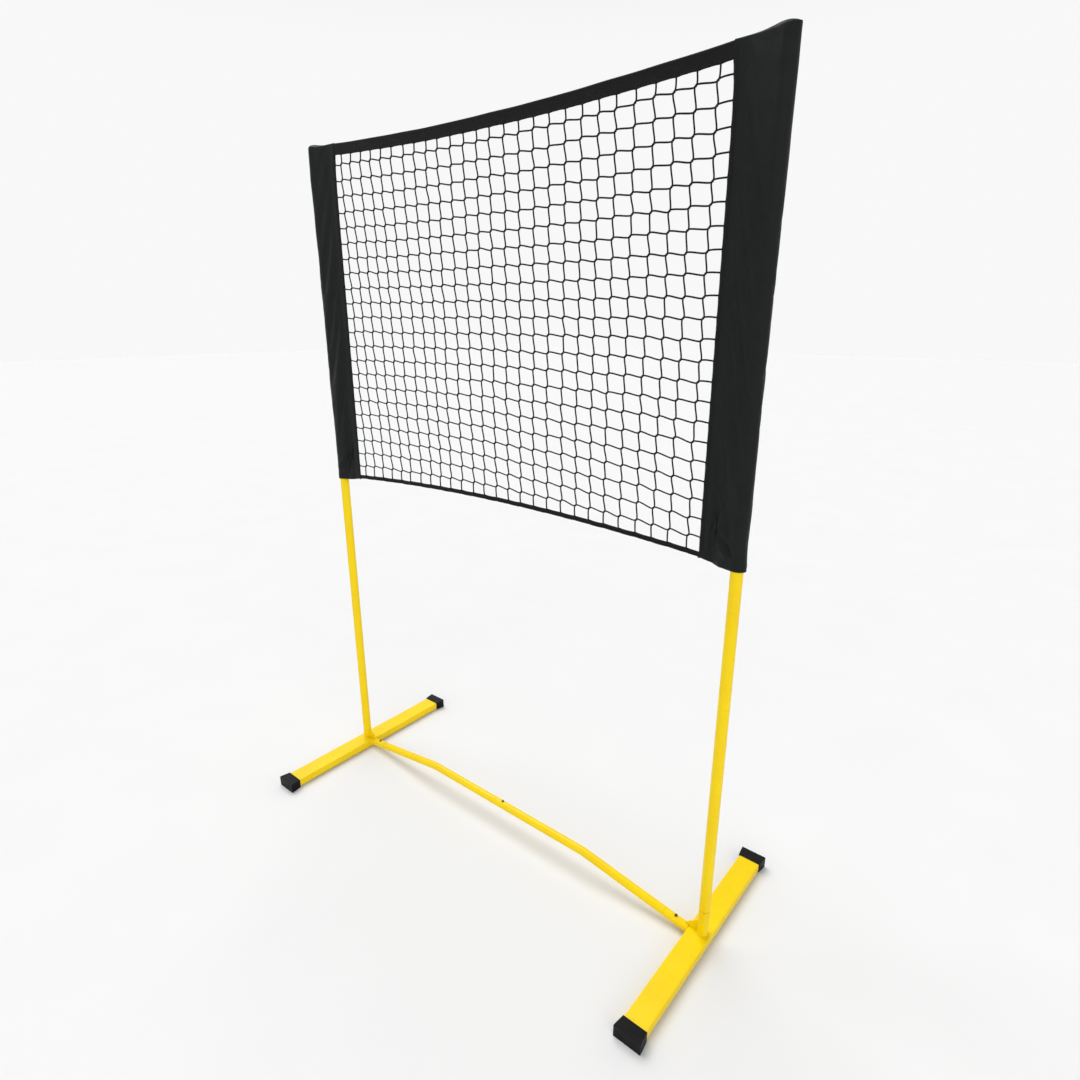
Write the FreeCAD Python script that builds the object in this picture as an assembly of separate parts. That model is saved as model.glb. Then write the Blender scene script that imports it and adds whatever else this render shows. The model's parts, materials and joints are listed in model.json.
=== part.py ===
"""Portable net on two poles: feet, crossbar, telescoping posts, snap buttons and the net itself.

Frame: origin on the ground under the middle of the net, +X along the net to the right, +Y away from
the front, +Z up. All lengths are millimetres.
"""
import FreeCAD, Part
import math
import os

from FreeCAD import Matrix, Placement, Vector

X_AXIS = Vector(1, 0, 0)
Y_AXIS = Vector(0, 1, 0)
Z_AXIS = Vector(0, 0, 1)
SIDES = {"left": -1, "right": 1}

# Overall layout
POST_X = 694.0              # post axis, each side of the middle
FOOT_X = 686.5              # foot centre line: the post stands a little outboard of it

# Feet: flat rectangular tube with a flared plastic cap on each end
FOOT_WIDTH = 60.0
FOOT_HEIGHT = 25.0
FOOT_WALL = 1.5
FOOT_CORNER = 3.0
FOOT_TUBE_HALF = 345.0
FOOT_BOTTOM = 4.0           # the caps hold the tube this far off the ground
FOOT_TOP = FOOT_BOTTOM + FOOT_HEIGHT
CAP_MOUTH_Y = 315.0
CAP_KNEE_Y = 338.0
CAP_END_Y = 350.0
CAP_SKIN = 1.5

# Gusset plate and weld beads at the root of each post socket
GUSSET_REACH = 36.0
GUSSET_RISE = 32.0
GUSSET_HALF = 1.5
WELD_BEAD = 3.5

# Round tubes
WALL = 1.2
FIT = 0.05                  # radial clearance of every telescoping joint
POST_R = 14.0
BAR_R = 12.5
SWAGE_LENGTH = 60.0         # reduced end that slides into the next tube
SWAGE_CONE = 3.0
SOCKET_TOP = 106.0
LOWER_POST_TOP = 1066.0
UPPER_POST_TOP = 2006.0
POST_CAP_SKIN = 1.2
POST_CAP_SKIRT = 26.0
POST_CAP_CROWN = 4.5

# Crossbar: level in the middle, sloping down to the feet
BAR_SLOPE = 8.5             # degrees
BAR_ROOT_Z = FOOT_BOTTOM + FOOT_HEIGHT / 2
BAR_BEND_X = 313.0
BAR_BEND_R = 200.0
STUB_END_X = 586.0

# Snap buttons and their V springs
BUTTON_R = 3.9
BUTTON_HOLE_R = 4.2
BUTTON_PROUD = 4.0          # height above the outer tube
BUTTON_FLANGE_R = 5.3
BUTTON_SETBACK = 30.0       # from the end of the reduced tube
SPRING_LENGTH = 44.0
SPRING_WIDTH = 6.0
SPRING_STRIP = 0.8

# Net
SLEEVE_INNER_X = 604.0
SLEEVE_BOTTOM = 1031.0
POCKET_TOP = 2010.8
POCKET_CIRCLES = [(-72.0, 0.9), (0.0, 16.3), (12.0, 9.0)]   # from the post axis: seam, post, outer fold
SLEEVE_SKIN = 1.5
PANEL_WIDTH = 24.0
PANEL_HALF = 1.5
BAND_HEIGHT = 28.5
BAND_END_TOP = 2007.0
BAND_SAG = 19.0
BAND_HALF = 2.0
BINDING_END_Z = 1040.0
BINDING_RISE = 24.0
BINDING_HEIGHT = 12.0
BINDING_HALF = 2.5
MESH_HALF = 1.2


def revolved(profile):
    """Solid of a closed (radius, height) profile turned once about the Z axis."""
    points = [Vector(r, 0, z) for r, z in profile]
    face = Part.Face(Part.makePolygon(points + points[:1]))
    return face.revolve(Vector(0, 0, 0), Z_AXIS, 360)


def prism(outline, sweep):
    """Solid swept from a flat outline of points."""
    return Part.Face(Part.makePolygon(outline + outline[:1])).extrude(sweep)


def moved_to(shape, origin, x_dir, z_dir):
    """Copy of a shape whose local X and Z axes are laid along x_dir and z_dir at origin."""
    y_dir = z_dir.cross(x_dir)
    matrix = Matrix(
        x_dir.x, y_dir.x, z_dir.x, origin.x,
        x_dir.y, y_dir.y, z_dir.y, origin.y,
        x_dir.z, y_dir.z, z_dir.z, origin.z,
        0, 0, 0, 1)
    moved = shape.copy()
    moved.Placement = Placement(matrix)
    return moved


def pipe(radius, low, high, wall=WALL):
    """Straight round tube along Z."""
    return revolved([(radius - wall, low), (radius, low), (radius, high), (radius - wall, high)])


def reduced_pipe(radius, low, high):
    """Round tube along Z whose lower SWAGE_LENGTH is reduced to slide inside a tube of the same radius."""
    small = radius - WALL - FIT
    shoulder = low + SWAGE_LENGTH
    cone_top = shoulder + SWAGE_CONE
    return revolved([
        (small - WALL, low), (small, low), (small, shoulder), (radius, cone_top), (radius, high),
        (radius - WALL, high), (radius - WALL, cone_top), (small - WALL, shoulder),
    ])


def drilled(shape, origin, direction, radius=BUTTON_HOLE_R, depth=30.0):
    """Shape with a round hole cut from origin outward."""
    return shape.cut(Part.makeCylinder(radius, depth, origin, direction))


def rounded_box(width, height, low_y, high_y, corner, centre_x, centre_z):
    """Bar along Y with a rounded rectangular section."""
    box = Part.makeBox(width, high_y - low_y, height,
                       Vector(centre_x - width / 2, low_y, centre_z - height / 2))
    long_edges = [e for e in box.Edges if abs(e.tangentAt(e.FirstParameter).y) > 0.9]
    return box.makeFillet(corner, long_edges)


def foot_tube(side):
    centre_z = FOOT_BOTTOM + FOOT_HEIGHT / 2
    outer = rounded_box(FOOT_WIDTH, FOOT_HEIGHT, -FOOT_TUBE_HALF, FOOT_TUBE_HALF, FOOT_CORNER,
                        side * FOOT_X, centre_z)
    inner = rounded_box(FOOT_WIDTH - 2 * FOOT_WALL, FOOT_HEIGHT - 2 * FOOT_WALL,
                        -FOOT_TUBE_HALF - 1, FOOT_TUBE_HALF + 1, FOOT_CORNER - FOOT_WALL,
                        side * FOOT_X, centre_z)
    return outer.cut(inner)


def foot_cap(side, end):
    """Flared cap over the end of a foot tube; end is -1 at the front and +1 at the rear."""
    half = FOOT_WIDTH / 2
    sections = [
        (CAP_MOUTH_Y, half + CAP_SKIN, FOOT_BOTTOM - CAP_SKIN, FOOT_TOP + CAP_SKIN),
        (CAP_KNEE_Y, half + 3 * CAP_SKIN, 0.0, FOOT_TOP + 2 * CAP_SKIN),
        (CAP_END_Y, half + 3.7 * CAP_SKIN, 0.0, FOOT_TOP + 2.3 * CAP_SKIN),
    ]
    centre = side * FOOT_X
    plan = [Vector(centre - width, end * y, 0) for y, width, _, _ in sections]
    plan += [Vector(centre + width, end * y, 0) for y, width, _, _ in reversed(sections)]
    profile = [Vector(centre - FOOT_WIDTH, end * y, low) for y, _, low, _ in sections]
    profile += [Vector(centre - FOOT_WIDTH, end * y, high) for y, _, _, high in reversed(sections)]
    body = prism(profile, X_AXIS * (2 * FOOT_WIDTH)).common(prism(plan, Z_AXIS * (2 * FOOT_TOP)))
    low_y, high_y = sorted((end * (CAP_MOUTH_Y - 5), end * FOOT_TUBE_HALF))
    recess = rounded_box(FOOT_WIDTH, FOOT_HEIGHT, low_y, high_y, FOOT_CORNER,
                         centre, FOOT_BOTTOM + FOOT_HEIGHT / 2)
    return body.cut(recess)


def bar_frame(side):
    """Root point on the foot's inner face, direction towards the middle and the upward normal."""
    slope = math.radians(BAR_SLOPE)
    root = Vector(side * (FOOT_X - FOOT_WIDTH / 2), 0, BAR_ROOT_Z)
    along = Vector(-side * math.cos(slope), 0, math.sin(slope))
    upward = Vector(side * math.sin(slope), 0, math.cos(slope))
    return root, along, upward


def bar_point(side, x):
    """Point on the sloping crossbar axis at distance x from the middle plane."""
    root, along, _ = bar_frame(side)
    return root + along * ((abs(root.x) - x) / abs(along.x))


def foot_side_cutter(side):
    """Large block that fills everything outboard of the foot's inner face."""
    inner = FOOT_X - FOOT_WIDTH / 2
    low_x = inner if side > 0 else -inner - 200
    return Part.makeBox(200, 200, 200, Vector(low_x, -100, -100))


def crossbar_stub(side):
    root, along, upward = bar_frame(side)
    end = bar_point(side, STUB_END_X)
    length = (end - root).Length
    stub = moved_to(pipe(BAR_R, -20, length), root, upward, along)
    stub = stub.cut(foot_side_cutter(side))
    return drilled(stub, end - along * BUTTON_SETBACK, upward)


def post_socket(side):
    socket = pipe(POST_R, FOOT_TOP, SOCKET_TOP)
    socket.translate(Vector(side * POST_X, 0, 0))
    hole = Vector(side * POST_X, 0, SOCKET_TOP - BUTTON_SETBACK)
    return drilled(socket, hole, Vector(-side, 0, 0))


def socket_gusset(side):
    """Triangular plate between the socket, the foot's top and the stub."""
    wall = POST_X - POST_R + 2
    edge = FOOT_X - FOOT_WIDTH / 2
    toe = wall - GUSSET_REACH
    outline = [(wall, FOOT_TOP), (wall, FOOT_TOP + GUSSET_RISE), (wall - 6, FOOT_TOP + GUSSET_RISE),
               (toe, FOOT_TOP + 6), (toe, FOOT_TOP - 2), (edge, FOOT_TOP - 2), (edge, FOOT_TOP)]
    points = [Vector(side * x, -GUSSET_HALF, z) for x, z in outline]
    plate = prism(points, Y_AXIS * (2 * GUSSET_HALF))
    socket = Part.makeCylinder(POST_R, 200, Vector(side * POST_X, 0, 0))
    root, along, _ = bar_frame(side)
    stub = Part.makeCylinder(BAR_R, 200, root - along * 20, along)
    return plate.cut(socket).cut(stub)


def weld_beads(side):
    """Fillet bead round the socket's base and another round the stub's root, as two solids."""
    ring = revolved([(POST_R, FOOT_TOP), (POST_R + WELD_BEAD, FOOT_TOP), (POST_R, FOOT_TOP + WELD_BEAD)])
    ring.translate(Vector(side * POST_X, 0, 0))
    root, along, upward = bar_frame(side)
    collar = revolved([(BAR_R, -6), (BAR_R + WELD_BEAD, -6), (BAR_R + WELD_BEAD, 2.5),
                       (BAR_R, 2.5 + WELD_BEAD)])
    collar = moved_to(collar, root, upward, along).cut(foot_side_cutter(side))
    foot_band = Part.makeBox(400, 200, FOOT_HEIGHT, Vector(side * POST_X - 200, -100, FOOT_BOTTOM))
    gusset = socket_gusset(side)
    ring = ring.cut(gusset)
    collar = collar.common(foot_band).cut(gusset)
    return Part.makeCompound(ring.Solids + collar.Solids)


def bend_tangent():
    """Distance from the corner of the crossbar's bend to where its arc starts."""
    return BAR_BEND_R * math.tan(math.radians(BAR_SLOPE) / 2)


def bar_leg(side):
    """Sloping outer leg of a crossbar tube, from its reduced end in the stub to the bend."""
    _, along, upward = bar_frame(side)
    start = bar_point(side, STUB_END_X) - along * SWAGE_LENGTH
    length = (bar_point(side, BAR_BEND_X) - start).Length - bend_tangent()
    return moved_to(reduced_pipe(BAR_R, 0, length), start, upward, along)


def bar_bend(side):
    """Short arc between the sloping leg and the level leg."""
    start = Vector(side * (BAR_BEND_X - bend_tangent()), 0, bar_point(side, BAR_BEND_X).z)
    ring = Part.Face(Part.Wire(Part.makeCircle(BAR_R, start, X_AXIS)))
    bore = Part.Face(Part.Wire(Part.makeCircle(BAR_R - WALL, start, X_AXIS)))
    centre = start - Z_AXIS * BAR_BEND_R
    arc = ring.revolve(centre, Y_AXIS, side * BAR_SLOPE)
    return arc.cut(bore.revolve(centre, Y_AXIS, side * BAR_SLOPE))


def crossbar_tube(side, inner_end, inner_reduced):
    """One bent crossbar tube; inner_end is the X of its end at the middle joint."""
    level_z = bar_point(side, BAR_BEND_X).z
    length = abs(side * (BAR_BEND_X - bend_tangent()) - inner_end)
    make = reduced_pipe if inner_reduced else pipe
    level = moved_to(make(BAR_R, 0, length), Vector(inner_end, 0, level_z), Z_AXIS, Vector(side, 0, 0))
    tube = bar_leg(side).fuse(bar_bend(side)).fuse(level)
    _, along, upward = bar_frame(side)
    tube = drilled(tube, bar_point(side, STUB_END_X) - along * BUTTON_SETBACK, upward)
    return drilled(tube, Vector(0, 0, level_z), Z_AXIS).removeSplitter()


def snap_button(tube_r):
    """Domed pin with a retaining flange, local Z outward from the tube axis."""
    flange_top = flange_height(tube_r)
    top = tube_r + BUTTON_PROUD
    pin = Part.makeCylinder(BUTTON_R, top - flange_top, Vector(0, 0, flange_top))
    rim = [e for e in pin.Edges if abs(e.BoundBox.ZMin - top) < 1e-6 and abs(e.BoundBox.ZMax - top) < 1e-6]
    pin = pin.makeFillet(2.2, rim)
    flange = Part.makeCylinder(BUTTON_FLANGE_R, 1.0, Vector(0, 0, flange_top - 1.0))
    return pin.fuse(flange)


def flange_height(tube_r):
    """Top of the button's flange, just under the reduced tube's inner wall."""
    inner_r = tube_r - 2 * WALL - FIT
    return math.sqrt(inner_r ** 2 - BUTTON_FLANGE_R ** 2) - 0.15


def button_spring(tube_r):
    """V-shaped strip behind the button: local X runs into the tube, local Z outward."""
    inner_r = tube_r - 2 * WALL - FIT
    top = flange_height(tube_r) - 1.2
    bottom = -(inner_r - 0.65)
    outline = [
        (-6, top), (6, top), (SPRING_LENGTH, 0), (-6, bottom), (-6, bottom + SPRING_STRIP),
        (SPRING_LENGTH - 4, 0), (6, top - SPRING_STRIP), (-6, top - SPRING_STRIP),
    ]
    points = [Vector(x, -SPRING_WIDTH / 2, z) for x, z in outline]
    return prism(points, Y_AXIS * SPRING_WIDTH)


def lower_post(side):
    post = reduced_pipe(POST_R, SOCKET_TOP - SWAGE_LENGTH, LOWER_POST_TOP)
    post.translate(Vector(side * POST_X, 0, 0))
    hole = Vector(side * POST_X, 0, LOWER_POST_TOP - BUTTON_SETBACK)
    return drilled(post, hole, Vector(-side, 0, 0))


def upper_post(side):
    post = reduced_pipe(POST_R, LOWER_POST_TOP - SWAGE_LENGTH, UPPER_POST_TOP)
    post.translate(Vector(side * POST_X, 0, 0))
    hole = Vector(side * POST_X, 0, LOWER_POST_TOP - BUTTON_SETBACK)
    return drilled(post, hole, Vector(-side, 0, 0))


def post_cap(side):
    """Domed plastic cap over the top of a post."""
    outer = POST_R + POST_CAP_SKIN
    low = UPPER_POST_TOP - POST_CAP_SKIRT
    top = UPPER_POST_TOP + POST_CAP_CROWN
    blank = Part.makeCylinder(outer, top - low, Vector(0, 0, low))
    rim = [e for e in blank.Edges if e.BoundBox.ZMin > top - 0.01]
    blank = blank.makeFillet(0.8 * POST_CAP_CROWN, rim)
    cap = blank.cut(Part.makeCylinder(POST_R, POST_CAP_SKIRT, Vector(0, 0, low)))
    cap.translate(Vector(side * POST_X, 0, 0))
    return cap


def sagging_slab(half_length, end_low, end_high, low_rise, high_rise, half_thickness):
    """Thin slab in the net plane whose lower and upper edges are arcs between its ends."""
    corners = [Vector(-half_length, -half_thickness, end_low), Vector(half_length, -half_thickness, end_low),
               Vector(half_length, -half_thickness, end_high), Vector(-half_length, -half_thickness, end_high)]
    low_mid = Vector(0, -half_thickness, end_low + low_rise)
    high_mid = Vector(0, -half_thickness, end_high + high_rise)
    edges = [
        Part.Arc(corners[0], low_mid, corners[1]).toShape(),
        Part.LineSegment(corners[1], corners[2]).toShape(),
        Part.Arc(corners[2], high_mid, corners[3]).toShape(),
        Part.LineSegment(corners[3], corners[0]).toShape(),
    ]
    return Part.Face(Part.Wire(edges)).extrude(Vector(0, 2 * half_thickness, 0))


def top_band():
    return sagging_slab(SLEEVE_INNER_X, BAND_END_TOP - BAND_HEIGHT, BAND_END_TOP, -BAND_SAG, -BAND_SAG,
                        BAND_HALF)


def bottom_binding():
    return sagging_slab(SLEEVE_INNER_X, BINDING_END_Z, BINDING_END_Z + BINDING_HEIGHT, BINDING_RISE,
                        BINDING_RISE, BINDING_HALF)


def mesh_panel():
    return sagging_slab(SLEEVE_INNER_X, BINDING_END_Z + BINDING_HEIGHT, BAND_END_TOP - BAND_HEIGHT,
                        BINDING_RISE, -BAND_SAG, MESH_HALF)


def teardrop(side, skin, low, high):
    """Upright prism round a post: the hull of three circles that narrows towards the mesh."""
    circles = [(x, r + skin) for x, r in POCKET_CIRCLES]
    (x0, r0), (x1, r1), (x2, r2) = circles
    upper = []
    for (xa, ra), (xb, rb) in zip(circles, circles[1:]):
        sine = (ra - rb) / (xb - xa)
        cosine = math.sqrt(1 - sine ** 2)
        upper.append((Vector(xa + ra * sine, ra * cosine, low), Vector(xb + rb * sine, rb * cosine, low)))
    (p0, p1), (p2, p3) = upper
    lower = [Vector(p.x, -p.y, p.z) for p in (p0, p1, p2, p3)]
    tip = Vector(x2 + r2, 0, low)
    apex = Vector(x0 - r0, 0, low)
    crest = Vector(x1 + r1 * math.sin((p1.x + p2.x - 2 * x1) / (2 * r1)), 0, low)
    crest.y = math.sqrt(r1 ** 2 - (crest.x - x1) ** 2)
    edges = [
        Part.LineSegment(p0, p1).toShape(),
        Part.Arc(p1, crest, p2).toShape(),
        Part.LineSegment(p2, p3).toShape(),
        Part.Arc(p3, tip, lower[3]).toShape(),
        Part.LineSegment(lower[3], lower[2]).toShape(),
        Part.Arc(lower[2], Vector(crest.x, -crest.y, low), lower[1]).toShape(),
        Part.LineSegment(lower[1], lower[0]).toShape(),
        Part.Arc(lower[0], apex, p0).toShape(),
    ]
    prism = Part.Face(Part.Wire(edges)).extrude(Vector(0, 0, high - low))
    if side < 0:
        prism = prism.mirror(Vector(0, 0, 0), X_AXIS)
    prism.translate(Vector(side * POST_X, 0, 0))
    return prism


def net_sleeve(side):
    """Fabric pocket that drops over a post, closed at the top, with a flat panel towards the mesh."""
    pocket_top = POCKET_TOP + SLEEVE_SKIN
    outer = teardrop(side, SLEEVE_SKIN, SLEEVE_BOTTOM, pocket_top)
    panel_x = min(side * SLEEVE_INNER_X, side * (SLEEVE_INNER_X + PANEL_WIDTH))
    panel = Part.makeBox(PANEL_WIDTH, 2 * PANEL_HALF, pocket_top - SLEEVE_BOTTOM,
                         Vector(panel_x, -PANEL_HALF, SLEEVE_BOTTOM))
    cavity = teardrop(side, 0.0, SLEEVE_BOTTOM - 1, POCKET_TOP)
    return outer.fuse(panel).cut(cavity).removeSplitter()


def button_set():
    """Every snap button with the tube it sits in: name, radius, axis point, way into the tube, outward."""
    sites = []
    for name, side in SIDES.items():
        _, along, upward = bar_frame(side)
        point = bar_point(side, STUB_END_X) - along * BUTTON_SETBACK
        sites.append((name + "_stub", BAR_R, point, along, upward))
        post_point = Vector(side * POST_X, 0, LOWER_POST_TOP - BUTTON_SETBACK)
        sites.append((name + "_post", POST_R, post_point, Z_AXIS, Vector(-side, 0, 0)))
    middle = Vector(0, 0, bar_point(-1, BAR_BEND_X).z)
    sites.append(("middle", BAR_R, middle, Vector(-1, 0, 0), Z_AXIS))
    return sites


def build():
    """All nodes by name."""
    nodes = {}
    for name, side in SIDES.items():
        nodes[name + "_foot_tube"] = foot_tube(side)
        nodes[name + "_front_foot_cap"] = foot_cap(side, -1)
        nodes[name + "_rear_foot_cap"] = foot_cap(side, 1)
        nodes[name + "_post_socket"] = post_socket(side)
        nodes[name + "_crossbar_stub"] = crossbar_stub(side)
        nodes[name + "_socket_gusset"] = socket_gusset(side)
        nodes[name + "_weld_beads"] = weld_beads(side)
        nodes[name + "_lower_post"] = lower_post(side)
        nodes[name + "_upper_post"] = upper_post(side)
        nodes[name + "_post_cap"] = post_cap(side)
        nodes["net_" + name + "_sleeve"] = net_sleeve(side)
    nodes["crossbar_left_tube"] = crossbar_tube(-1, BUTTON_SETBACK, True)
    nodes["crossbar_right_tube"] = crossbar_tube(1, -BUTTON_SETBACK, False)
    for name, tube_r, point, along, outward in button_set():
        nodes[name + "_snap_button"] = moved_to(snap_button(tube_r), point, along, outward)
        nodes[name + "_button_spring"] = moved_to(button_spring(tube_r), point, along, outward)
    nodes["net_top_band"] = top_band()
    nodes["net_bottom_binding"] = bottom_binding()
    nodes["net_mesh"] = mesh_panel()
    return nodes


os.makedirs("parts", exist_ok=True)
for node, shape in sorted(build().items()):
    box = shape.BoundBox
    print(f"{node:28s} solids {len(shape.Solids)} valid {shape.isValid()} volume {shape.Volume:12.1f} "
          f"x {box.XMin:8.1f} {box.XMax:8.1f} y {box.YMin:7.1f} {box.YMax:7.1f} z {box.ZMin:7.1f} {box.ZMax:7.1f}")
    shape.exportStep("parts/" + node + ".step")
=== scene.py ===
import json
import math

import bmesh
import bpy
import numpy as np
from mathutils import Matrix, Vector

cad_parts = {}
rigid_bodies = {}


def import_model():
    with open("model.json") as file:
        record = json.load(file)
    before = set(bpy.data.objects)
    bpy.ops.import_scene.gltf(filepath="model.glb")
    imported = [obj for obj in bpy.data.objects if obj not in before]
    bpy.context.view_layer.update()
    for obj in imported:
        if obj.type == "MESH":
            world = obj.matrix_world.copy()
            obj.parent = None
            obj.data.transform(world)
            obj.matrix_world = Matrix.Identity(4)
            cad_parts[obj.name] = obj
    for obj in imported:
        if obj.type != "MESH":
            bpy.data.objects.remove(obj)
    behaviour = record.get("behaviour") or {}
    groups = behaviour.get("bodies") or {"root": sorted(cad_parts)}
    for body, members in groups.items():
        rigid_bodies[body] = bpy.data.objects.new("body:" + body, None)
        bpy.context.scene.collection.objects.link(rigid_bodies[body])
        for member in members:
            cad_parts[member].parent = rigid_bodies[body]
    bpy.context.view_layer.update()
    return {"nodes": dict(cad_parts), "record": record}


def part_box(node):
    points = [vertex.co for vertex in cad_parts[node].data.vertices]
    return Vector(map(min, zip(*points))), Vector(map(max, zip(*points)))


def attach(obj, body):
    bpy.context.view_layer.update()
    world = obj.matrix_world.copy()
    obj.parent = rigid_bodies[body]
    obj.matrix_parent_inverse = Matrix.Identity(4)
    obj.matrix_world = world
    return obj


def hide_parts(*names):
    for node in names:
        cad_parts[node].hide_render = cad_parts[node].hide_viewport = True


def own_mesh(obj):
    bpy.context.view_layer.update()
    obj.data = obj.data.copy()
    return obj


# The looks of a portable net on two poles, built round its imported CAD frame. All lengths are metres.
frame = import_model()
RANDOM = np.random.default_rng(11)

# Net: what the frame doesn't say
MESH_PITCH = 0.044
COLUMNS = 27                # upright strands
ROWS = 22                   # level strands
TOP_GAP = 0.60              # part-squares above the first row and below the last, in pitches
BOTTOM_GAP = 0.75
STRAND_R = 0.0018
STRAND_STEPS = 8            # points along one side of a square
STRAND_PULL = 0.42          # length of its curve handles, in pitches
STRAND_BOW = 0.06           # unevenness of their directions
SEAM_BITE = 0.005           # how far strand ends run into a seam
SEAM_RISE = 0.0012          # level strands meet the right seam this much higher than the left one
KNOT_REACH = 0.0026         # a knot lies on the diagonal: this far each way from its centre
KNOT_OVERLAP = 0.0004       # its core runs this much into the strands
KNOT_CORE_R = 0.00125
KNOT_TURN_R = 0.00108       # radius of the twine wrapped round the core
KNOT_WRAP_R = 0.00165       # and the radius of its turns
KNOT_LEAN = 0.0011          # how far a turn leans along the core
KNOT_SPREAD = 0.0010        # and how far it lies from the knot's centre
KNOT_SCATTER = 0.0007       # unevenness of the knots
COLUMN_DRIFT = 0.0009       # and of whole columns of them
SIDE_WANDER = ((0.61, 0.33), 0.0016)        # slow wandering of the knots: wave lengths and reach
UP_WANDER = ((0.47, 0.23), 0.0010)
BILLOW = 0.0016             # how far the net swells out of its plane

# Band and binding
BAND_HEIGHT = 0.0285
BAND_HALF = 0.0012          # half thickness of the band between its edges
BAND_EDGE = 0.0006          # added at its lower edge
BAND_FOLD = 0.0012          # and at its upper fold
BAND_PUCKER = 0.0008
BAND_WAVE = 0.0004
BAND_TUG = 0.0011           # how far an upright strand draws the band down
BAND_SWAYS = ((0.0009, 17), (0.0006, 41))       # how the band leans: reach and radians per metre
BINDING_HEIGHT = 0.012
BINDING_HALF = 0.0012       # half thickness of the binding
BINDING_SWELL = 0.0009      # added at an upright strand
BINDING_TUG = 0.0006
BINDING_WAVE = 0.0003
FOLD_BULGE = 0.0021         # radius of the binding's lower fold
SEAM_SQUEEZE = 0.65         # share of their thickness that both tapes lose inside a sleeve's seam
SEAM_RAMP = (-0.004, 0.010) # where that starts, from the seam outward, and over what length
CLOTH = 0.0007              # thickness of one layer

# Sleeves
PANEL_END = 0.024           # width of the flat stitched panel next to the mesh
PANEL_HALF = 0.0016         # and its half thickness
FREE_FADE = 0.02            # width over which the cloth beside it becomes free to ripple
HEM_HEIGHT = 0.016
HEM_CORNER_LIFT = 0.009     # the hem's inner corner stands this much above its lowest point
HEM_DIP = 0.0022            # and between them it runs this much under a straight line
CORNER_PULL = 0.0065        # the band draws a sleeve's top inner corner in by this much
CORNER_FADE = 0.035         # how fast that fades below the band
CORNER_REACH = 0.018        # and across the sleeve
ROW_TUG = 0.0012            # how far a level strand draws the inner edge toward the net
ROW_TUG_WIDTH = 0.006
POST_CLEAR = 0.0156         # no fold of the cloth's outer face comes nearer to the post's axis
POCKET_R = 0.0182           # slack radius of the pocket round the post
FOLD_OUT = 0.0113           # centre of the outer fold, outboard of the post's axis
FOLD_R = 0.0112
TOP_ROUND = 0.011           # most height over which front and back come together at the top seam
TOP_ROUND_LEAST = 0.002     # the height where both lie flat, and what it gains with their distance
TOP_ROUND_GAIN = 0.6
SLEEVE_TOPS = (0.0015, 0.0090, 0.0045)      # top seam above the band end, at the panel, post and fold
HALF_COLUMNS = 28           # cloth grid, seam to outer fold
SLEEVE_ROWS = 196
TOP_ROWS = 8
RIPPLES = ((0.31, 0.0012), (0.13, 0.0007), (0.06, 0.0002))      # slack of the pocket: wave length and reach
PULL_LINE = ((0.020, 0.112), (-0.002, 0.026))   # hem's fold: its ends across from seam and post, and up
PULL_RIDGES = ((-0.0115, 0.0050, 0.0080), (0.0115, 0.0042, 0.0095))     # beside it: distance, height, width
PULL_VALLEY = 0.0046        # its depth and width
PULL_BEND = 0.005           # how far it bends out of a straight line
PULL_ABOVE_HEM = (0.012, 0.022)     # where it fades in and over what length: up from the hem,
PULL_PAST_PANEL = (-0.008, 0.020)   # across from the panel's end,
PULL_OFF_SEAM = (0.003, 0.007)      # and out from the sleeve's middle plane
PANEL_SEAM = 0.021          # stitch line of the panel, from the inner edge
CORNER_KNOT = (0.0006, -0.0002)     # mesh's corner knot, out from the inner edge and up from its lower end

# Settling of the sleeves, over a smooth stand-in for post and cap
POST_R = 0.0142
CAP_R = 0.0154
CAP_RINGS = (0.029, 0.016, 0.004)   # below its top
CAP_BEVEL = 0.0035
POST_LENGTH = 1.02          # from the cap's top down
POST_TOP = 0.030            # the plain post ends this far below the cap's top
CLOTH_GAP = 0.0012          # the cloth keeps this far off the stand-in
CLOTH_GROWTH = 0.003        # slack that becomes folds
PIN_MARGIN = 0.001          # pinned cloth reaches this far past the panel
SETTLE_FRAMES = 34
HEM_SHARE = 0.45            # share of the settled shape that is kept at the hem
HEM_FREE = (0.012, 0.05)    # where the rest comes in above the hem, and over what height
TOP_LOSS = 0.65             # share of it that is given up near the top
TOP_HELD = (-0.30, 0.20)    # where that starts, from the top, and over what height

# Threads
STITCH_R = 0.00032
STITCH_LENGTH = 0.0026
STITCH_GAP = 0.0012
OVERLOCK_R = 0.00042        # bound round a sleeve's inner edge
OVERLOCK_PITCH = 0.0036
OVERLOCK_BITE = 0.0050      # how far it reaches in over both faces
OVERLOCK_LOOP = 0.0006      # and stands off the edge
OVERLOCK_HALF = 0.0021      # half the thickness that it is bound round
ZIGZAG_R = 0.00034
ZIGZAG_STEP = 0.0019
ZIGZAG_TURNS = (0.0092, 0.0044)     # its turning points, from the inner edge
ZIGZAG_OFF = 0.00185        # from the sleeve's middle plane
ZIGZAG_MARGIN = 0.004

# Camera and light
CAMERA_PLACE = (1.228, -1.316, 1.542)
CAMERA_TURN = 39.26         # degrees to the left of +Y
CAMERA_TILT = -18.14        # degrees above the horizon
CAMERA_LENS = 22.7
FLOOR_REACH = 30.0
LAMPS = (("key", (-0.45, 0.16, 0.87), 2.2, 45),         # where it stands, its strength and its width
         ("fill", (0.60, -0.60, 0.50), 0.95, 70))
LAMP_HEIGHT = 4.0
SKY = (("From Min", 0.28), ("From Max", 0.88), ("To Min", 0.94), ("To Max", 0.18))  # strength by height


# ---------------------------------------------------------------- materials

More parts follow.
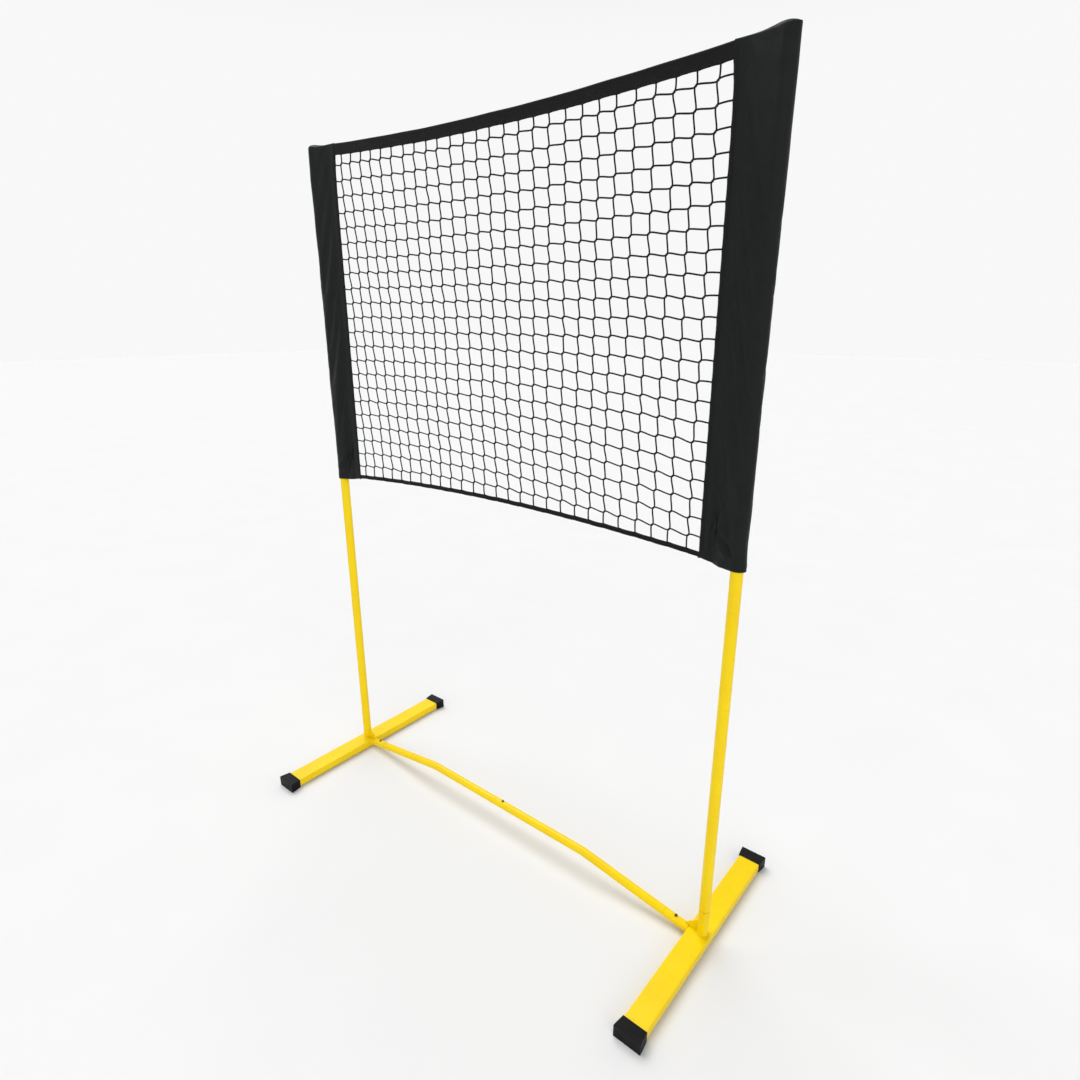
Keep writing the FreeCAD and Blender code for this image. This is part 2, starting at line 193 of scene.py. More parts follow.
class Nodes:
    """A material's node tree with short calls for the nodes used here."""

    def __init__(self, name, roughness, specular=0.5, metallic=0.0):
        self.material = bpy.data.materials.new(name)
        self.material.use_nodes = True
        self.tree = self.material.node_tree
        self.shader = self.tree.nodes["Principled BSDF"]
        self.set(self.shader, {"Roughness": roughness, "Specular IOR Level": specular,
                               "Metallic": metallic})

    def set(self, node, values):
        for key, value in values.items():
            node.inputs[key].default_value = value

    def link(self, output, node, socket):
        self.tree.links.new(output, node.inputs[socket])

    def place(self, kind="Object"):
        return self.tree.nodes.new("ShaderNodeTexCoord").outputs[kind]

    def stretched(self, vector, scale):
        node = self.tree.nodes.new("ShaderNodeMapping")
        node.inputs["Scale"].default_value = scale
        self.link(vector, node, "Vector")
        return node.outputs["Vector"]

    def noise(self, vector, scale, detail=3.0, rough=0.5, distortion=0.0):
        node = self.tree.nodes.new("ShaderNodeTexNoise")
        self.set(node, {"Scale": scale, "Detail": detail, "Roughness": rough, "Distortion": distortion})
        self.link(vector, node, "Vector")
        return node.outputs["Fac"]

    def cells(self, vector, scale, feature="F1"):
        node = self.tree.nodes.new("ShaderNodeTexVoronoi")
        node.feature = feature
        node.inputs["Scale"].default_value = scale
        self.link(vector, node, "Vector")
        return node.outputs["Distance"]

    def math(self, kind, a, b=None):
        node = self.tree.nodes.new("ShaderNodeMath")
        node.operation = kind
        for socket, value in enumerate((a, b)):
            if value is None:
                continue
            if isinstance(value, float):
                node.inputs[socket].default_value = value
            else:
                self.link(value, node, socket)
        return node.outputs["Value"]

    def split(self, vector):
        node = self.tree.nodes.new("ShaderNodeSeparateXYZ")
        self.link(vector, node, "Vector")
        return node.outputs

    def spread(self, value, low, high, to_low=0.0, to_high=1.0):
        node = self.tree.nodes.new("ShaderNodeMapRange")
        self.set(node, {"From Min": low, "From Max": high, "To Min": to_low, "To Max": to_high})
        self.link(value, node, "Value")
        return node.outputs["Result"]

    def blend(self, amount, first, second):
        node = self.tree.nodes.new("ShaderNodeMix")
        node.data_type = "RGBA"
        self.link(amount, node, "Factor")
        for socket, colour in (("A", first), ("B", second)):
            target = [s for s in node.inputs if s.name == socket and s.type == "RGBA"][0]
            if isinstance(colour, tuple):
                target.default_value = (*colour, 1.0)
            else:
                self.tree.links.new(colour, target)
        return [s for s in node.outputs if s.type == "RGBA"][0]

    def bump(self, height, strength, distance, under=None):
        node = self.tree.nodes.new("ShaderNodeBump")
        self.set(node, {"Strength": strength, "Distance": distance})
        self.link(height, node, "Height")
        if under is not None:
            self.link(under, node, "Normal")
        return node.outputs["Normal"]

    def finish(self, colour, roughness=None, normal=None):
        self.link(colour, self.shader, "Base Color")
        if roughness is not None:
            self.link(roughness, self.shader, "Roughness")
        if normal is not None:
            self.link(normal, self.shader, "Normal")
        return self.material


def yellow_paint():
    """Glossy powder coat: orange peel, a little unevenness and faint scuffs from putting it up."""
    n = Nodes("yellow_paint", 0.32, 0.20)
    n.set(n.shader, {"Coat Weight": 0.03, "Coat Roughness": 0.18})
    place = n.place()
    uneven = n.noise(place, 9.0, 4.0)
    colour = n.blend(n.spread(uneven, 0.3, 0.7), (0.875, 0.640, 0.001), (0.84, 0.580, 0.001))
    scuffs = n.noise(n.stretched(place, (1.0, 1.0, 0.12)), 260.0, 4.0, 0.7)
    mask = n.math("MULTIPLY", n.spread(scuffs, 0.66, 0.74), n.spread(n.noise(place, 14.0), 0.52, 0.66))
    colour = n.blend(n.math("MULTIPLY", mask, 0.5), colour, (0.66, 0.45, 0.01))
    specks = n.spread(n.cells(place, 150.0), 0.025, 0.045, 1.0, 0.0)
    colour = n.blend(n.math("MULTIPLY", specks, 0.2), colour, (0.60, 0.44, 0.03))
    rough = n.spread(n.noise(place, 40.0, 5.0), 0.25, 0.75, 0.24, 0.38)
    peel = n.bump(n.noise(place, 520.0, 2.0, 0.45), 0.10, 0.0006)
    waves = n.bump(n.noise(place, 55.0, 1.0), 0.06, 0.002, peel)
    return n.finish(colour, n.math("ADD", rough, n.math("MULTIPLY", mask, 0.2)), waves)


def weld_paint():
    """The same paint over a stack-of-coins weld."""
    n = Nodes("weld_paint", 0.4, 0.20)
    n.set(n.shader, {"Coat Weight": 0.03, "Coat Roughness": 0.2})
    place = n.place()
    colour = n.blend(n.noise(place, 60.0), (0.84, 0.60, 0.002), (0.76, 0.51, 0.002))
    beads = n.bump(n.cells(place, 330.0, "SMOOTH_F1"), 0.7, 0.0012)
    ripples = n.bump(n.noise(place, 700.0, 3.0), 0.3, 0.0006, beads)
    return n.finish(colour, None, ripples)


def moulded_plastic():
    """Black injection-moulded caps: fine leather grain and rubbed spots."""
    n = Nodes("moulded_plastic", 0.5, 0.11)
    place = n.place()
    rubbed = n.spread(n.noise(place, 34.0, 5.0, 0.65), 0.50, 0.75)
    colour = n.blend(rubbed, (0.0045, 0.0045, 0.0052), (0.0095, 0.0095, 0.0105))
    scratches = n.spread(n.noise(n.stretched(place, (1.0, 0.06, 1.0)), 900.0, 2.0), 0.70, 0.78)
    colour = n.blend(n.math("MULTIPLY", scratches, 0.4), colour, (0.035, 0.035, 0.037))
    rough = n.spread(n.noise(place, 70.0, 4.0), 0.2, 0.8, 0.42, 0.60)
    grain = n.bump(n.cells(place, 950.0, "SMOOTH_F1"), 0.22, 0.0006)
    return n.finish(colour, rough, n.bump(n.noise(place, 80.0), 0.1, 0.001, grain))


def blackened_steel():
    """Snap buttons, rubbed bright in spots."""
    n = Nodes("blackened_steel", 0.38, 0.5, 1.0)
    place = n.place()
    worn = n.spread(n.noise(place, 420.0, 4.0, 0.6), 0.45, 0.70)
    colour = n.blend(worn, (0.075, 0.065, 0.055), (0.26, 0.22, 0.18))
    rough = n.spread(worn, 0.0, 1.0, 0.30, 0.52)
    return n.finish(colour, rough, n.bump(n.noise(place, 1400.0), 0.12, 0.0003))


def spring_steel():
    """V springs, brushed along the strip."""
    n = Nodes("spring_steel", 0.3, 0.5, 1.0)
    place = n.place()
    brushed = n.noise(n.stretched(place, (0.1, 1.0, 0.1)), 1600.0, 3.0)
    colour = n.blend(brushed, (0.36, 0.37, 0.39), (0.52, 0.53, 0.55))
    rough = n.spread(brushed, 0.2, 0.8, 0.22, 0.42)
    return n.finish(colour, rough, n.bump(brushed, 0.1, 0.0002))


def woven_cloth(name, dark, light, pitch, crumple, sheen, roughness):
    """Woven nylon. The cloth's UVs are metres along and across, so the weave runs with the cut."""
    n = Nodes(name, roughness, 0.14)
    n.set(n.shader, {"Sheen Weight": sheen, "Sheen Roughness": 0.35, "Sheen Tint": (0.75, 0.80, 0.86, 1.0)})
    cloth = n.place("UV")
    axes = n.split(cloth)
    turn = 2 * math.pi / pitch
    across = n.math("SINE", n.math("MULTIPLY", axes["X"], turn))
    along = n.math("SINE", n.math("MULTIPLY", axes["Y"], turn))
    weave = n.math("MULTIPLY", across, along)
    patches = n.noise(cloth, 22.0, 5.0, 0.6)
    fine = n.noise(cloth, 240.0, 3.0)
    colour = n.blend(n.spread(patches, 0.3, 0.75), dark, light)
    colour = n.blend(n.spread(fine, 0.40, 0.9, 0.0, 0.35), colour, light)
    rough = n.spread(patches, 0.3, 0.7, roughness - 0.07, roughness + 0.07)
    creases = n.cells(n.stretched(cloth, (1.0, 0.6, 1.0)), 30.0, "SMOOTH_F1")
    normal = n.bump(creases, crumple, 0.006)
    normal = n.bump(n.noise(cloth, 65.0, 4.0, 0.55, 0.6), crumple, 0.0025, normal)
    return n.finish(colour, rough, n.bump(weave, 0.32, pitch / 2, normal))


def laid_twine(name, dark, light, lay):
    """Three-strand twine: U runs once round it and V is metres along it. Its colour carries painted shade in
    the grooves between the strands and a painted highlight on their crowns, varied at random by a fibre fuzz
    tone.
    """
    n = Nodes(name, 0.75, 0.18)
    n.set(n.shader, {"Sheen Weight": 0.04, "Sheen Roughness": 0.5})
    cord = n.place("UV")
    axes = n.split(cord)
    round_it = n.math("MULTIPLY", axes["X"], 6 * math.pi)
    forward = n.math("MULTIPLY", axes["Y"], 2 * math.pi / lay)
    strands = n.math("ABSOLUTE", n.math("SINE", n.math("ADD", round_it, forward)))
    fuzz = n.noise(n.place(), 900.0, 3.0)
    # painted shade and painted highlight: dark in the grooves between strands, light on their crowns, times a
    # random fuzz tone
    colour = n.blend(n.math("MULTIPLY", strands, fuzz), dark, light)
    normal = n.bump(strands, 0.5, 0.0005)
    return n.finish(colour, None, n.bump(fuzz, 0.2, 0.0003, normal))


MATERIALS = {
    "yellow_tube": yellow_paint(),
    "black_plastic": moulded_plastic(),
    "button_steel": blackened_steel(),
    "spring_steel": spring_steel(),
    "sleeve_fabric": woven_cloth("sleeve_nylon", (0.0045, 0.0057, 0.0054), (0.0090, 0.0106, 0.0106),
                                 0.00060, 0.20, 0.03, 0.47),
    "band_fabric": woven_cloth("band_tape", (0.0042, 0.0044, 0.0042), (0.0080, 0.0082, 0.0078),
                               0.00090, 0.10, 0.02, 0.64),
    "mesh_twine": laid_twine("net_twine", (0.0030, 0.0030, 0.0034), (0.0110, 0.0105, 0.0112), 0.0085),
}
STITCH_THREAD = laid_twine("stitch_thread", (0.018, 0.018, 0.019), (0.075, 0.076, 0.080), 0.0020)
WELD_PAINT = weld_paint()


# ---------------------------------------------------------------- mesh tools

def unit(vectors):
    """The same directions at length 1."""
    return vectors / np.maximum(np.linalg.norm(vectors, axis=-1, keepdims=True), 1e-12)


def ramp(value, start, length):
    """0 up to start, rising evenly to 1 over length."""
    return np.clip((value - start) / length, 0, 1)


def grid_faces(rows, columns, wrap=False):
    """Quads of a grid whose points are stored row by row; wrap joins the last column to the first."""
    last = columns if wrap else columns - 1
    row, column = np.meshgrid(np.arange(rows - 1), np.arange(last), indexing="ij")
    beside = (column + 1) % columns
    here, above = row * columns, (row + 1) * columns
    return np.stack([here + column, here + beside, above + beside, above + column], -1).reshape(-1, 4)


def add_mesh(name, points, faces, material, uv=None):
    """A smooth-shaded piece in its slot; uv has one pair for each face corner."""
    mesh = bpy.data.meshes.new(name)
    mesh.from_pydata(np.asarray(points).tolist(), [], [list(map(int, f)) for f in faces])
    if uv is not None:
        layer = mesh.uv_layers.new(name="UVMap")
        layer.data.foreach_set("uv", np.asarray(uv, np.float32).ravel())
    mesh.polygons.foreach_set("use_smooth", np.ones(len(mesh.polygons), bool))
    mesh.materials.append(material)
    mesh.update()
    piece = bpy.data.objects.new(name, mesh)
    bpy.context.scene.collection.objects.link(piece)
    return piece


def tubes(paths, radius, sides, reference, ring=False):
    """Round tubes along paths (count, steps, 3): points, faces and corner UVs. ring closes each path."""
    count, steps, _ = paths.shape
    if ring:
        tangent = unit(np.roll(paths, -1, axis=1) - np.roll(paths, 1, axis=1))
        lengths = np.linalg.norm(np.roll(paths, -1, axis=1) - paths, axis=-1)
    else:
        tangent = unit(np.gradient(paths, axis=1))
        lengths = np.linalg.norm(np.diff(paths, axis=1), axis=-1)
    run = np.zeros((count, steps))
    run[:, 1:] = np.cumsum(lengths, axis=1)[:, :steps - 1]
    side = unit(np.cross(tangent, np.broadcast_to(reference, paths.shape)))
    over = np.cross(tangent, side)
    angle = 2 * np.pi * np.arange(sides) / sides
    radius = np.broadcast_to(np.asarray(radius, float), (steps,))[None, :, None, None]
    wheel = np.cos(angle)[:, None] * side[:, :, None] + np.sin(angle)[:, None] * over[:, :, None]
    points = (paths[:, :, None] + radius * wheel).reshape(-1, 3)

    step = np.arange(steps if ring else steps - 1)
    first, second = np.meshgrid(step, np.arange(sides), indexing="ij")
    onward, beside = (first + 1) % steps, (second + 1) % sides
    quads = np.stack([first * sides + second, first * sides + beside,
                      onward * sides + beside, onward * sides + second], -1).reshape(-1, 4)
    starts = np.arange(count)[:, None, None] * (steps * sides)
    faces = (starts + quads).reshape(-1, 4).tolist()
    around = np.stack([second, second + 1, second + 1, second], -1) / sides
    low = run[:, first]
    high = low + lengths[:, np.minimum(first, lengths.shape[1] - 1)]
    along = np.stack([low, low, high, high], -1)
    uv = np.stack([np.broadcast_to(around, along.shape), along], -1).reshape(-1, 2)
    if not ring:
        ends = []
        for start in range(0, count * steps * sides, steps * sides):
            ends.append(list(range(start + sides - 1, start - 1, -1)))
            ends.append(list(range(start + (steps - 1) * sides, start + steps * sides)))
        faces += ends
        uv = np.concatenate([uv, np.full((2 * count * sides, 2), 0.5)])
    return points, faces, uv


def joined(parts):
    """Several (points, faces, uv) as one."""
    points, faces, uvs, offset = [], [], [], 0
    for p, f, uv in parts:
        points.append(p)
        faces += [[i + offset for i in face] for face in f]
        uvs.append(uv)
        offset += len(p)
    return np.concatenate(points), faces, np.concatenate(uvs)


def thickened(piece, thickness, levels):
    """Gives a one-layer cloth its thickness, grown inward; levels round it first."""
    if levels:
        smooth = piece.modifiers.new("Smooth", "SUBSURF")
        smooth.levels = smooth.render_levels = levels
    solid = piece.modifiers.new("Thickness", "SOLIDIFY")
    solid.thickness = thickness
    solid.offset = -1
    return piece


def cloth_uv(points, rows, columns):
    """Metres along and across a cloth grid, one pair for each corner of its quads."""
    grid = np.asarray(points).reshape(rows, columns, 3)
    across = np.zeros((rows, columns))
    across[:, 1:] = np.cumsum(np.linalg.norm(np.diff(grid, axis=1), axis=-1), axis=1)
    along = np.zeros((rows, columns))
    along[1:] = np.cumsum(np.linalg.norm(np.diff(grid, axis=0), axis=-1), axis=0)
    flat = np.stack([across, along], -1).reshape(-1, 2)
    return flat[grid_faces(rows, columns)].reshape(-1, 2)


def wander(x, lengths, reach):
    """Smooth small wandering along x, from a few wave lengths with drawn phases."""
    phases = RANDOM.uniform(0, 2 * np.pi, len(lengths))
    waves = sum(np.sin(2 * np.pi * x / length + phase) for length, phase in zip(lengths, phases))
    return reach * waves / len(lengths)


def stitches(lines, outward):
    """Short thread capsules laid end to end along lines (points, 3), lifted along outward."""
    parts = []
    thickness = [STITCH_R * 0.6, STITCH_R, STITCH_R, STITCH_R, STITCH_R * 0.6]
    lift = np.array([-0.4, 0.55, 0.75, 0.55, -0.4]) * STITCH_R
    offsets = np.linspace(0, STITCH_LENGTH, len(lift))
    for line, up in zip(lines, outward):
        line, up = np.asarray(line), np.asarray(up)
        run = np.concatenate([[0], np.cumsum(np.linalg.norm(np.diff(line, axis=0), axis=-1))])
        starts = np.arange(STITCH_GAP, run[-1] - STITCH_LENGTH, STITCH_LENGTH + STITCH_GAP)
        where = starts[:, None] + offsets
        place = np.stack([np.interp(where, run, line[:, axis]) for axis in range(3)], -1)
        normal = unit(np.stack([np.interp(where, run, up[:, axis]) for axis in range(3)], -1))
        parts.append(tubes(place + normal * lift[:, None], thickness, 6, normal))
    return joined(parts)


# ---------------------------------------------------------------- where the net is

band_low, band_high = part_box("net_top_band")
binding_low, binding_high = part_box("net_bottom_binding")
HALF_SPAN = band_high.x
BAND_SAG = (band_high.z - band_low.z) - BAND_HEIGHT
BINDING_RISE = (binding_high.z - binding_low.z) - BINDING_HEIGHT


def band_bottom(x):
    """Height of the band's lower edge."""
    return band_high.z - BAND_HEIGHT - BAND_SAG * (1 - (x / HALF_SPAN) ** 2)


def binding_bottom(x):
    """Height of the binding's lower fold."""
    return binding_low.z + BINDING_RISE * (1 - (x / HALF_SPAN) ** 2)


def binding_top(x):
    """Height of the binding's upper edge."""
    return binding_bottom(x) + BINDING_HEIGHT


def row_height(x, row):
    """Height of a level strand, spread between the band and the binding."""
    top, bottom = band_bottom(x), binding_top(x)
    return top - (TOP_GAP + row) * (top - bottom) / (TOP_GAP + ROWS - 1 + BOTTOM_GAP)


# ---------------------------------------------------------------- knotted mesh

def knot_places():
    """Centres of the knots, (ROWS, COLUMNS, 3), a little uneven as hand-hung netting is."""
    column, row = np.meshgrid(np.arange(COLUMNS) - (COLUMNS - 1) / 2, np.arange(ROWS))
    x = column * MESH_PITCH
    z = row_height(x, row)
    uneven = RANDOM.normal(0, KNOT_SCATTER, (3, ROWS, COLUMNS))
    drift = RANDOM.normal(0, COLUMN_DRIFT, (2, COLUMNS))
    x = x + uneven[0] + drift[0] + wander(z, *SIDE_WANDER)
    z = z + uneven[2] + wander(x, *UP_WANDER)
    y = uneven[1] * 0.8 + BILLOW * np.sin(x * 5.1 + 0.7) * np.sin(z * 4.3) + drift[1] * 0.5
    return np.stack([x, y, z], -1)


def curve(start, end, leaving, arriving, pull, steps):
    """Hermite curves between two arrays of points."""
    t = np.linspace(0, 1, steps)[:, None]
    a, b = start[:, None], end[:, None]
    u, v = (leaving * pull)[:, None], (arriving * pull)[:, None]
    return ((2 * t ** 3 - 3 * t ** 2 + 1) * a + (t ** 3 - 2 * t ** 2 + t) * u
            + (3 * t ** 2 - 2 * t ** 3) * b + (t ** 3 - t ** 2) * v)


def strand_paths(knots):
    """Every length of twine between two knots, or between a knot and a seam."""
    diagonal = np.array([1.0, 0.0, 1.0]) / math.sqrt(2)
    high, low = knots + diagonal * KNOT_REACH, knots - diagonal * KNOT_REACH
    edge = HALF_SPAN + SEAM_BITE
    left, right = low[:, 0].copy(), high[:, -1].copy()
    left[:, 0], right[:, 0] = -edge, edge
    left[:, 1] = right[:, 1] = 0
    left[:, 2] = row_height(HALF_SPAN, np.arange(ROWS))
    right[:, 2] = left[:, 2] + SEAM_RISE
    top, bottom = high[0].copy(), low[-1].copy()
    top[:, 1] = bottom[:, 1] = 0
    top[:, 2] = band_bottom(top[:, 0]) + SEAM_BITE
    bottom[:, 2] = binding_top(bottom[:, 0]) - BINDING_HEIGHT / 2

    def between(starts, ends, out, into):
        starts, ends = starts.reshape(-1, 3), ends.reshape(-1, 3)
        bow = RANDOM.normal(0, STRAND_BOW, (2, *starts.shape))
        return curve(starts, ends, out + bow[0], into + bow[1], MESH_PITCH * STRAND_PULL, STRAND_STEPS)

    slant = np.array([0.95, 0.0, 0.42])
    fall = np.array([-0.40, 0.0, -0.95])
    level, upright = np.array([1.0, 0.0, 0.0]), np.array([0.0, 0.0, -1.0])
    return np.concatenate([
        between(high[:, :-1], low[:, 1:], slant, slant),
        between(left, low[:, 0], level, slant),
        between(high[:, -1], right, slant, level),
        between(low[:-1], high[1:], fall, fall),
        between(top, high[0], upright, fall),
        between(low[-1], bottom, fall, upright),
    ])


def knot_parts(knots):
    """Each knot: a doubled core on the diagonal and two turns of twine wrapped round it."""
    centres = knots.reshape(-1, 3)
    count = len(centres)
    tip = RANDOM.normal(0, 0.12, (count, 1))
    diagonal = unit(np.concatenate([1 + tip, RANDOM.normal(0, 0.10, (count, 1)), 1 - tip], -1))
    front = unit(np.cross(diagonal, np.array([0.0, 1.0, 0.0])))
    rise = np.cross(diagonal, front)
    reach = KNOT_REACH + KNOT_OVERLAP
    core = centres[:, None] + diagonal[:, None] * np.linspace(-reach, reach, 5)[:, None]
    parts = [tubes(core, np.array([0.75, 1.15, 1.25, 1.15, 0.75]) * KNOT_CORE_R, 6, front[:, None])]
    angle = 2 * np.pi * np.arange(12)[:, None] / 12
    swing = np.cos(angle) * front[:, None] + np.sin(angle) * rise[:, None]
    for sign in (-1, 1):
        lean = sign * RANDOM.uniform(0.15, 0.45, (count, 1, 1))
        shift = np.cos(angle) * lean * KNOT_LEAN + sign * KNOT_SPREAD
        turn = swing * KNOT_WRAP_R + diagonal[:, None] * shift
        parts.append(tubes(centres[:, None] + turn, KNOT_TURN_R, 5, diagonal[:, None], ring=True))
    return joined(parts)


def build_mesh():
    """The netting, as one piece for the lengths of twine and one for the knots."""
    knots = knot_places()
    twine = MATERIALS["mesh_twine"]
    points, faces, uv = tubes(strand_paths(knots), STRAND_R, 8, np.array([0.0, 1.0, 0.0]))
    strands = add_mesh("net_mesh_strands", points, faces, twine, uv)
    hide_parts("net_mesh")
    points, faces, uv = knot_parts(knots)
    wraps = add_mesh("net_mesh_knots", points, faces, twine, uv)
    for piece in (strands, wraps):
        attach(piece, "net")


# ---------------------------------------------------------------- top band and bottom binding

def tape_stations(step):
    """Places along the net for a tape's sections, running a little way into both sleeves."""
    end = HALF_SPAN + SEAM_BITE * 2
    return np.arange(-HALF_SPAN - SEAM_BITE * 2, end + 1e-6, step)


def tape_grid(stations, outline):
    """Grid of a tape folded over the net's edge: outline(x) gives its section as (y, z) pairs."""
    return np.array([[(x, y, z) for y, z in outline(x)] for x in stations])


def taper(x, seam):
    """1 along the net, and less where the tape runs into a sleeve's seam."""
    return 1 - SEAM_SQUEEZE * ramp(abs(x) - seam, *SEAM_RAMP)


def pull_at(x, sharpness=0.007):
    """1 at each upright strand and 0 between them: where the mesh tugs at its edge tape."""
    nearest = np.round(x / MESH_PITCH) * MESH_PITCH
    return math.exp(-((x - nearest) / sharpness) ** 2)


def add_tape(name, node, grid, seams, levels):
    """A tape piece with its stitch lines."""
    rows, columns, _ = grid.shape
    points = grid.reshape(-1, 3)
    faces = grid_faces(rows, columns)
    uv = cloth_uv(points, rows, columns)
    piece = add_mesh(name, points, faces, MATERIALS["band_fabric"], uv)
    thickened(piece, CLOTH, levels)
    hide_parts(node)
    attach(piece, "net")
    lines = [grid[:, column] for column in seams]
    outward = [np.tile([0.0, math.copysign(1.0, line[:, 1].mean()), 0.0], (len(line), 1)) for line in lines]
    points, faces, _ = stitches(lines, outward)
    thread = add_mesh(name + "_stitching", points, faces, STITCH_THREAD)
    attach(thread, "net")


def build_band():
    """The top band, folded over the net's upper edge and puckered by its stitches."""
    phases = RANDOM.uniform(0, 2 * np.pi, 6)
    steps = 11
    rise = np.linspace(0, 1, steps)

    def outline(x):
        bottom = band_bottom(x) - BAND_TUG * pull_at(x)
        height = band_high.z - BAND_SAG * (1 - (x / HALF_SPAN) ** 2) - bottom
        thick = taper(x, HALF_SPAN - CORNER_PULL)
        lean = sum(reach * math.sin(x * turn + phase) for (reach, turn), phase in zip(BAND_SWAYS, phases))
        section = []
        for side in (-1, 1):
            pucker = BAND_PUCKER * math.sin(x * 2 * math.pi / (MESH_PITCH / 2) + phases[2 + (side > 0)])
            lower_edge = (BAND_EDGE + pucker * 0.5) * np.exp(-(rise / 0.16) ** 2)
            upper_fold = BAND_FOLD * np.exp(-((rise - 0.93) / 0.08) ** 2)
            y = BAND_HALF + lower_edge + upper_fold
            y = y + BAND_WAVE * np.sin(x * 60 + 5 * rise + phases[4 + (side > 0)])
            y = y * thick * np.where(rise > 0.97, 0.55, 1.0)
            half = [(side * v + lean * thick, bottom + height * r) for v, r in zip(y, rise)]
            section += half if side < 0 else half[::-1]
        return section

    grid = tape_grid(tape_stations(0.004), outline)
    add_tape("net_top_band_cloth", "net_top_band", grid, (1, 2 * steps - 2, 8, 2 * steps - 9),
             1)


def build_binding():
    """The bottom binding, folded round the net's lower edge."""
    phases = RANDOM.uniform(0, 2 * np.pi, 3)
    angles = np.radians(np.linspace(125, 415, 15))      # the lower fold is more than half a circle

    def outline(x):
        thick = taper(x, HALF_SPAN)
        bottom = binding_bottom(x) + BINDING_TUG * pull_at(x) + BINDING_WAVE * math.sin(x * 73 + phases[0])
        top = bottom + BINDING_HEIGHT
        wave = BINDING_WAVE * math.sin(x * 90 + phases[1])
        swell = BINDING_HALF + BINDING_SWELL * pull_at(x, sharpness=0.009)
        wall = [(thick * (swell + wave), top - 0.0002), (thick * swell, top - 0.0022),
                (thick * (0.7 * swell + 0.0004 - wave), (top + bottom) / 2)]
        fold = [(FOLD_BULGE * thick * math.cos(a), bottom + FOLD_BULGE * (1 + math.sin(a))) for a in angles]
        return [(-y, z) for y, z in wall] + fold + wall[::-1]

    grid = tape_grid(tape_stations(0.003), outline)
    columns = grid.shape[1]
    add_tape("net_bottom_binding_tape", "net_bottom_binding", grid, (1, columns - 2),
             0)


# ---------------------------------------------------------------- sleeves

def half_section(post_x):
    """Half of the sleeve's cut outline, from inner seam to outer fold: x, half thickness and length."""
    seam_x = HALF_SPAN + PANEL_END - post_x
    circles = [(seam_x, PANEL_HALF), (0.0, POCKET_R), (FOLD_OUT, FOLD_R)]
    outline = [(HALF_SPAN - post_x, PANEL_HALF), (seam_x, PANEL_HALF)]
    lean_in, lean_out = [math.asin((ra - rb) / (xb - xa)) for (xa, ra), (xb, rb) in zip(circles, circles[1:])]
    for angle in np.linspace(math.pi / 2 - lean_in, math.pi / 2 - lean_out, 12):
        outline.append((POCKET_R * math.cos(angle), POCKET_R * math.sin(angle)))
    for angle in np.linspace(math.pi / 2 - lean_out, 0.0, 10):
        outline.append((FOLD_OUT + FOLD_R * math.cos(angle), FOLD_R * math.sin(angle)))
    outline = np.array(outline)
    run = np.concatenate([[0], np.cumsum(np.linalg.norm(np.diff(outline, axis=0), axis=-1))])
    even = np.linspace(0, run[-1], HALF_COLUMNS + 1)
    return np.interp(even, run, outline[:, 0]) + post_x, np.interp(even, run, outline[:, 1]), run[-1]


def inner_edge(z):
    """Where a sleeve's inner edge is at a height: the band's pull draws its top corner in."""
    below_band = np.maximum(band_high.z - BAND_HEIGHT - z, 0)
    return HALF_SPAN - CORNER_PULL * np.exp(-below_band / CORNER_FADE)


def sleeve_grid(side, post_x):
    """Points of a pillowcase drawn over the post, (rows, columns, 3), before it is settled."""
    x, half, _ = half_section(post_x)
    x = np.concatenate([x, x[-2::-1]])
    y = np.concatenate([-half, half[-2::-1]])
    share = ramp(x, HALF_SPAN, post_x - POCKET_R - HALF_SPAN)
    sleeve_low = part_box("net_right_sleeve")[0]
    hem = sleeve_low.z + HEM_CORNER_LIFT * (1 - share) - HEM_DIP * np.sin(np.pi * share)
    panel, post, fold = SLEEVE_TOPS
    outward = ramp(x, post_x, FOLD_OUT + FOLD_R)
    bulge = np.sin(ramp(x, HALF_SPAN, post_x - HALF_SPAN) * np.pi / 2) ** 3
    top = band_high.z + panel + (post - panel) * bulge * (1 - outward ** 2) + (fold - panel) * outward ** 2
    flat_rows = SLEEVE_ROWS - TOP_ROWS
    rise = np.linspace(0, 1, flat_rows)[:, None]
    closing = np.minimum(TOP_ROUND, TOP_ROUND_LEAST + abs(y) * TOP_ROUND_GAIN)
    body_z = hem + rise * (top - closing - hem)
    turn = np.linspace(0, np.pi / 2, TOP_ROWS + 1)[1:, None]
    z = np.concatenate([body_z, top - closing + closing * np.sin(turn)])
    y = np.concatenate([np.tile(y, (flat_rows, 1)), y * np.cos(turn)])
    x = np.tile(x, (SLEEVE_ROWS, 1))
    tug = np.zeros(SLEEVE_ROWS)
    for height in row_height(HALF_SPAN, np.arange(ROWS)):
        tug += np.exp(-((z[:, 0] - height) / ROW_TUG_WIDTH) ** 2)
    edge = np.exp(-((x - HALF_SPAN) / ROW_TUG_WIDTH) ** 2)
    x = x - ROW_TUG * tug[:, None] * edge
    x = x - (HALF_SPAN - inner_edge(z)) * np.exp(-((x - HALF_SPAN) / CORNER_REACH) ** 2)
    free = ramp(x - HALF_SPAN, PANEL_END, FREE_FADE)
    for length, reach in RIPPLES:
        phase = RANDOM.uniform(0, 2 * np.pi, 2)
        ripple = np.sin(2 * np.pi * z / length + 9 * (x - HALF_SPAN) + phase[0] + np.sign(y) * phase[1])
        y = y + np.sign(y) * reach * free * np.maximum(ripple, 0)
    return np.stack([side * x, y, z], -1)


def sleeve_mesh(grid, side):
    """Faces, with the front and back of the top row sewn into one seam."""
    rows, columns, _ = grid.shape
    index = np.arange(rows * columns)
    top = (rows - 1) * columns
    for column in range(columns // 2 + 1, columns):
        index[top + column] = top + columns - 1 - column
    faces = index[grid_faces(rows, columns)]
    if side < 0:
        faces = faces[:, ::-1]
    return faces


